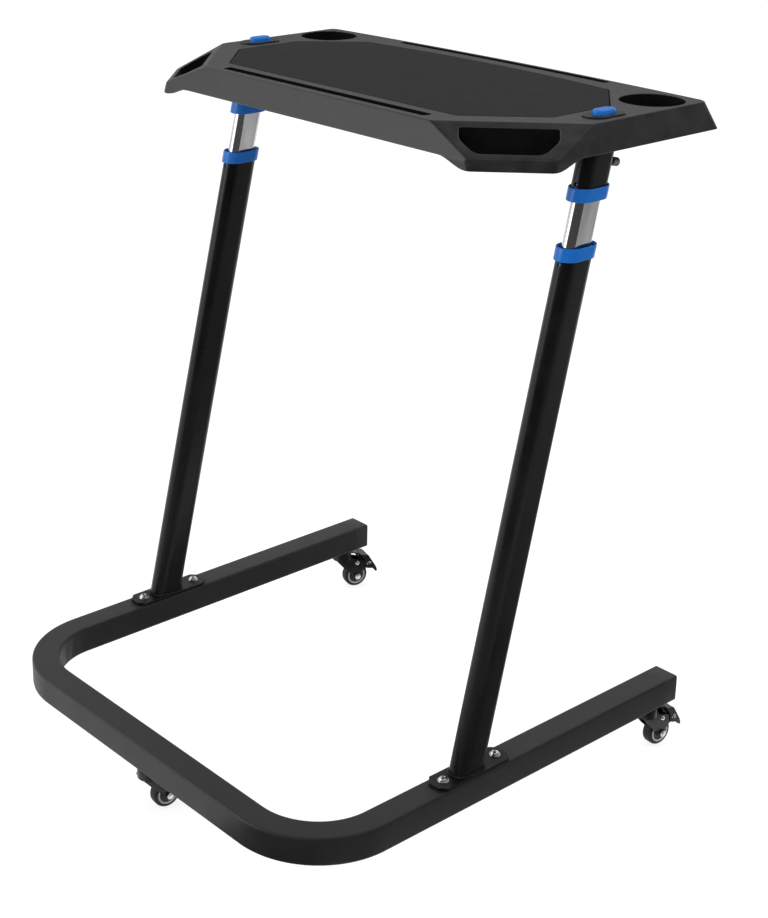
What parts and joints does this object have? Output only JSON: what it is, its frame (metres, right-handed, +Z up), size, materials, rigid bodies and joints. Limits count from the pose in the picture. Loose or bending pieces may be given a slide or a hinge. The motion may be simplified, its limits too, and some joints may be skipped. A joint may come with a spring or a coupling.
{
  "type": "standing fitness desk",
  "caption": "Height-adjustable desk on casters: U-shaped tube base, leaning telescopic posts, moulded top with mat, slots, cup holders and hand-holds.",
  "frame": {"origin": "centre of the part's box in X and Y, on the floor under the wheels", "axes": "+Z up; +Y towards the rider, where the U of the base opens; +X to the right when looking along +Y"},
  "size_m": [0.74, 0.7214, 0.9593],
  "materials": {
    "black_paint": "semi-gloss powder coat",
    "black_plastic": "fine grain",
    "bright_steel": "zinc plated",
    "dark_steel": "satin",
    "blue_plastic": "satin moulded",
    "chrome": "polished",
    "grey_plastic": "fine grain",
    "mat_rubber": "matt",
    "light_plastic": "satin",
    "tyre_rubber": "matt"
  },
  "bodies": {
    "base": {"base_frame": "black_paint", "end_cap_left": "black_plastic", "end_cap_right": "black_plastic", "base_plate_left": "black_paint", "base_plate_right": "black_paint", "base_bolt_left_near": "bright_steel", "base_bolt_left_far": "bright_steel", "base_bolt_right_near": "bright_steel", "base_bolt_right_far": "bright_steel", "lower_tube_left": "black_paint", "lower_tube_right": "black_paint", "lower_collar_left": "blue_plastic", "lower_collar_right": "blue_plastic", "spring_seat_left": "black_plastic", "spring_seat_right": "black_plastic", "gas_cylinder_left": "black_paint", "gas_cylinder_right": "black_paint", "caster_front_stem": "dark_steel", "caster_left_stem": "dark_steel", "caster_right_stem": "dark_steel"},
    "desk": {"inner_tube_left": "chrome", "inner_tube_right": "chrome", "guide_bush_left": "black_plastic", "guide_bush_right": "black_plastic", "upper_tube_left": "black_paint", "upper_tube_right": "black_paint", "upper_collar_left": "blue_plastic", "upper_collar_right": "blue_plastic", "clamp_screw_left": "dark_steel", "clamp_screw_right": "dark_steel", "gas_rod_left": "chrome", "gas_rod_right": "chrome", "release_head_left": "dark_steel", "release_head_right": "dark_steel", "socket_plate_left": "black_paint", "socket_plate_right": "black_paint", "desk_top": "grey_plastic", "desk_mat": "mat_rubber", "bezel_left": "black_plastic", "bezel_right": "black_plastic"},
    "button_left": {"button_left": "blue_plastic", "push_rod_left": "dark_steel"},
    "button_right": {"button_right": "blue_plastic", "push_rod_right": "dark_steel"},
    "caster_front": {"caster_front_fork": "black_paint", "caster_front_axle": "bright_steel"},
    "wheel_front": {"caster_front_hub": "light_plastic", "caster_front_tyre": "tyre_rubber"},
    "brake_front": {"caster_front_pedal": "black_plastic"},
    "caster_left": {"caster_left_fork": "black_paint", "caster_left_axle": "bright_steel"},
    "wheel_left": {"caster_left_hub": "light_plastic", "caster_left_tyre": "tyre_rubber"},
    "brake_left": {"caster_left_pedal": "black_plastic"},
    "caster_right": {"caster_right_fork": "black_paint", "caster_right_axle": "bright_steel"},
    "wheel_right": {"caster_right_hub": "light_plastic", "caster_right_tyre": "tyre_rubber"},
    "brake_right": {"caster_right_pedal": "black_plastic"}
  },
  "joints": [
    {"name": "desk_height", "type": "slide", "parent": "base", "child": "desk", "axis": [0, 0.225, 0.9744], "range_m": [-0.0565, 0.2255]},
    {"name": "press_button_left", "type": "slide", "parent": "desk", "child": "button_left", "axis": [0, 0.225, 0.9744], "range_m": [-0.004, 0], "stiffness_N_per_m": 1500, "springref_m": 0.002},
    {"name": "press_button_right", "type": "slide", "parent": "desk", "child": "button_right", "axis": [0, 0.225, 0.9744], "range_m": [-0.004, 0], "stiffness_N_per_m": 1500, "springref_m": 0.002},
    {"name": "swivel_front", "type": "hinge", "parent": "base", "child": "caster_front", "pos_m": [0, -0.34078, 0.062], "axis": [0, 0, 1], "continuous": true},
    {"name": "roll_front", "type": "hinge", "parent": "caster_front", "child": "wheel_front", "pos_m": [0.00251, -0.31691, 0.0205], "axis": [0.9945, -0.1045, 0], "continuous": true},
    {"name": "brake_front", "type": "hinge", "parent": "caster_front", "child": "brake_front", "pos_m": [0.00473, -0.29583, 0.04], "axis": [0.9945, -0.1045, 0], "range_deg": [-12, 0]},
    {"name": "swivel_left", "type": "hinge", "parent": "base", "child": "caster_left", "pos_m": [-0.33, 0.29872, 0.062], "axis": [0, 0, 1], "continuous": true},
    {"name": "roll_left", "type": "hinge", "parent": "caster_left", "child": "wheel_left", "pos_m": [-0.32298, 0.32167, 0.0205], "axis": [0.9563, -0.2924, 0], "continuous": true},
    {"name": "brake_left", "type": "hinge", "parent": "caster_left", "child": "brake_left", "pos_m": [-0.31678, 0.34194, 0.04], "axis": [0.9563, -0.2924, 0], "range_deg": [-12, 0]},
    {"name": "swivel_right", "type": "hinge", "parent": "base", "child": "caster_right", "pos_m": [0.33, 0.29872, 0.062], "axis": [0, 0, 1], "continuous": true},
    {"name": "roll_right", "type": "hinge", "parent": "caster_right", "child": "wheel_right", "pos_m": [0.33209, 0.32263, 0.0205], "axis": [0.9962, -0.0872, 0], "continuous": true},
    {"name": "brake_right", "type": "hinge", "parent": "caster_right", "child": "brake_right", "pos_m": [0.33394, 0.34375, 0.04], "axis": [0.9962, -0.0872, 0], "range_deg": [-12, 0]}
  ]
}
